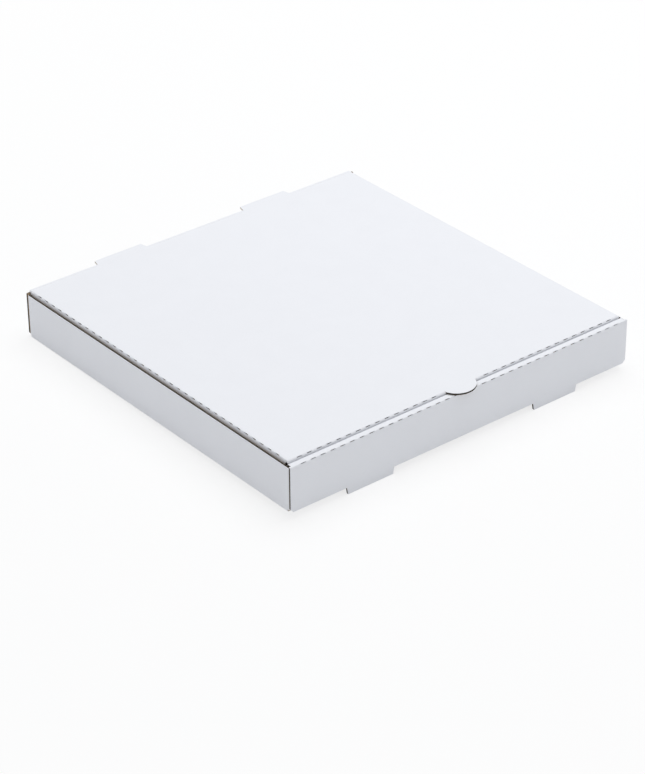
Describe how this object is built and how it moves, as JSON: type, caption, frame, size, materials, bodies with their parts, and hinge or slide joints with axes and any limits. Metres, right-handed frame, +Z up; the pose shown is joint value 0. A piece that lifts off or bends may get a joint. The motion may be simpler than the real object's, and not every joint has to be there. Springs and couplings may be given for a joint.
{
  "type": "pizza box",
  "caption": "Flat square box of plain white corrugated board, with a rolled-over front wall and a hinged tuck-in lid that lifts by a half-moon thumb tab, for carrying a pizza.",
  "frame": {"origin": "centre of the tray's underside", "axes": "+X to the right as seen from the front wall, +Y from the front wall to the hinge, +Z up through the lid"},
  "size_m": [0.33, 0.34, 0.0455],
  "materials": {
    "white_board": "matte white liner over brown fluting"
  },
  "bodies": {
    "tray": {"tray": "white_board"},
    "lid": {"lid": "white_board"}
  },
  "joints": [
    {"name": "lid_hinge", "type": "hinge", "parent": "tray", "child": "lid", "pos_m": [0, 0.165, 0.04], "axis": [-1, 0, 0], "range_deg": [0, 180]}
  ]
}
